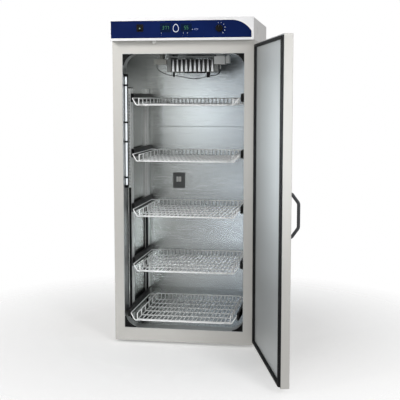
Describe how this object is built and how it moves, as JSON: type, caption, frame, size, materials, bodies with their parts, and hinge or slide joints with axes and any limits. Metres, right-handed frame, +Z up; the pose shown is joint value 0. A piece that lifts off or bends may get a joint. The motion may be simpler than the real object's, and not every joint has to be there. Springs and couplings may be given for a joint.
{
  "type": "egg incubator",
  "caption": "Upright cabinet incubator with an insulated hinged door, pull-out wire shelves, a ceiling heater with a fan, and a control panel across its top.",
  "frame": {"origin": "on the floor, under the middle of the insulated casing", "axes": "+Z up, -Y out of the doorway towards the user, +X to the user's right, where the door is hung"},
  "size_m": [1.0274, 1.4015, 1.731],
  "materials": {
    "casing_paint": "fine satin powder coat, warm off-white",
    "housing_paint": "fine satin powder coat, off-white",
    "bezel_plastic": "moulded white plastic",
    "panel_film": "printed blue film",
    "display_glass": "tinted display window",
    "black_plastic": "moulded black plastic",
    "white_plastic": "moulded white plastic",
    "grey_plastic": "moulded grey plastic",
    "board": "glass-fibre circuit board",
    "stainless": "brushed stainless sheet",
    "bright_steel": "zinc-plated steel",
    "aluminium": "satin aluminium",
    "tube_glass": "opal lamp glass",
    "foam": "rigid polyurethane foam",
    "seal_rubber": "black bellows seal",
    "foot_rubber": "black rubber",
    "coated_wire": "white plastic-coated wire",
    "slide_steel": "black-coated steel",
    "cable_rubber": "black cable sheath",
    "handle_metal": "dark grey coated bar",
    "trim_black": "black edge strip",
    "corner_black": "black corner plate"
  },
  "bodies": {
    "cabinet": {"side_panels": "casing_paint", "casing_decks": "bright_steel", "rear_panel": "casing_paint", "front_frame": "casing_paint", "cabinet_foam": "foam", "inner_liner": "stainless", "mouth_ring": "stainless", "mouth_corner_plates": "corner_black", "mouth_rivets": "bright_steel", "top_housing": "housing_paint", "control_fascia": "bezel_plastic", "control_overlay": "panel_film", "display_windows": "display_glass", "control_board": "board", "main_switch_body": "black_plastic", "thermostat_body": "grey_plastic", "mains_inlet": "black_plastic", "door_sensor": "white_plastic", "light_tube": "tube_glass", "light_fitting": "black_plastic", "lamp_holders": "black_plastic", "shelf_uprights": "stainless", "upright_trims": "trim_black", "duct_housing": "aluminium", "heater_fins": "aluminium", "fan_motor": "bright_steel", "terminal_box": "grey_plastic", "supply_box": "white_plastic", "sensor_cable": "cable_rubber", "cable_clips": "black_plastic", "temperature_probe": "bright_steel", "socket_plate": "grey_plastic", "socket_insert": "white_plastic", "cabinet_hinges": "bright_steel", "rear_feet": "foot_rubber", "fixed_rails": "slide_steel"},
    "door": {"door_skin": "casing_paint", "door_foam": "foam", "door_liner": "stainless", "door_gasket": "seal_rubber", "door_handle": "handle_metal", "door_hinges": "bright_steel"},
    "fan": {"fan_impeller": "aluminium"},
    "rocker": {"main_switch_rocker": "black_plastic"},
    "knob": {"thermostat_knob": "black_plastic"},
    "set_button": {"key_set": "panel_film"},
    "down_button": {"key_down": "panel_film"},
    "up_button": {"key_up": "panel_film"},
    "left_levelling_foot": {"foot_front_left": "foot_rubber"},
    "right_levelling_foot": {"foot_front_right": "foot_rubber"},
    "shelf_1": {"wire_shelf_1": "coated_wire", "sliding_rails_1": "slide_steel"},
    "shelf_2": {"wire_shelf_2": "coated_wire", "sliding_rails_2": "slide_steel"},
    "shelf_3": {"wire_shelf_3": "coated_wire", "sliding_rails_3": "slide_steel"},
    "shelf_4": {"wire_shelf_4": "coated_wire", "sliding_rails_4": "slide_steel"},
    "shelf_5": {"wire_shelf_5": "coated_wire", "sliding_rails_5": "slide_steel"}
  },
  "joints": [
    {"name": "door_swing", "type": "hinge", "parent": "cabinet", "child": "door", "pos_m": [0.3785, -0.334, 0.8], "axis": [0, 0, 1], "range_deg": [-105, 60]},
    {"name": "fan_spin", "type": "hinge", "parent": "cabinet", "child": "fan", "pos_m": [-0.008, 0.01, 1.4965], "axis": [1, 0, 0], "continuous": true},
    {"name": "switch_rock", "type": "hinge", "parent": "cabinet", "child": "rocker", "pos_m": [-0.2125, -0.375, 1.6795], "axis": [1, 0, 0], "range_deg": [0, 16]},
    {"name": "thermostat_turn", "type": "hinge", "parent": "cabinet", "child": "knob", "pos_m": [0.2007, -0.39, 1.6745], "axis": [0, -1, 0], "range_deg": [-150, 150]},
    {"name": "set_press", "type": "slide", "parent": "cabinet", "child": "set_button", "axis": [0, 1, 0], "range_m": [0, 0.0008], "stiffness_N_per_m": 800},
    {"name": "down_press", "type": "slide", "parent": "cabinet", "child": "down_button", "axis": [0, 1, 0], "range_m": [0, 0.0008], "stiffness_N_per_m": 800},
    {"name": "up_press", "type": "slide", "parent": "cabinet", "child": "up_button", "axis": [0, 1, 0], "range_m": [0, 0.0008], "stiffness_N_per_m": 800},
    {"name": "shelf_1_slide", "type": "slide", "parent": "cabinet", "child": "shelf_1", "axis": [0, -1, 0], "range_m": [0, 0.35]},
    {"name": "shelf_2_slide", "type": "slide", "parent": "cabinet", "child": "shelf_2", "axis": [0, -1, 0], "range_m": [0, 0.35]},
    {"name": "shelf_3_slide", "type": "slide", "parent": "cabinet", "child": "shelf_3", "axis": [0, -1, 0], "range_m": [0, 0.35]},
    {"name": "shelf_4_slide", "type": "slide", "parent": "cabinet", "child": "shelf_4", "axis": [0, -1, 0], "range_m": [0, 0.35]},
    {"name": "shelf_5_slide", "type": "slide", "parent": "cabinet", "child": "shelf_5", "axis": [0, -1, 0], "range_m": [-0.07, 0.28]},
    {"name": "left_foot_turn", "type": "hinge", "parent": "cabinet", "child": "left_levelling_foot", "pos_m": [-0.31, -0.235, 0], "axis": [0, 0, 1], "continuous": true},
    {"name": "right_foot_turn", "type": "hinge", "parent": "cabinet", "child": "right_levelling_foot", "pos_m": [0.31, -0.235, 0], "axis": [0, 0, 1], "continuous": true}
  ]
}
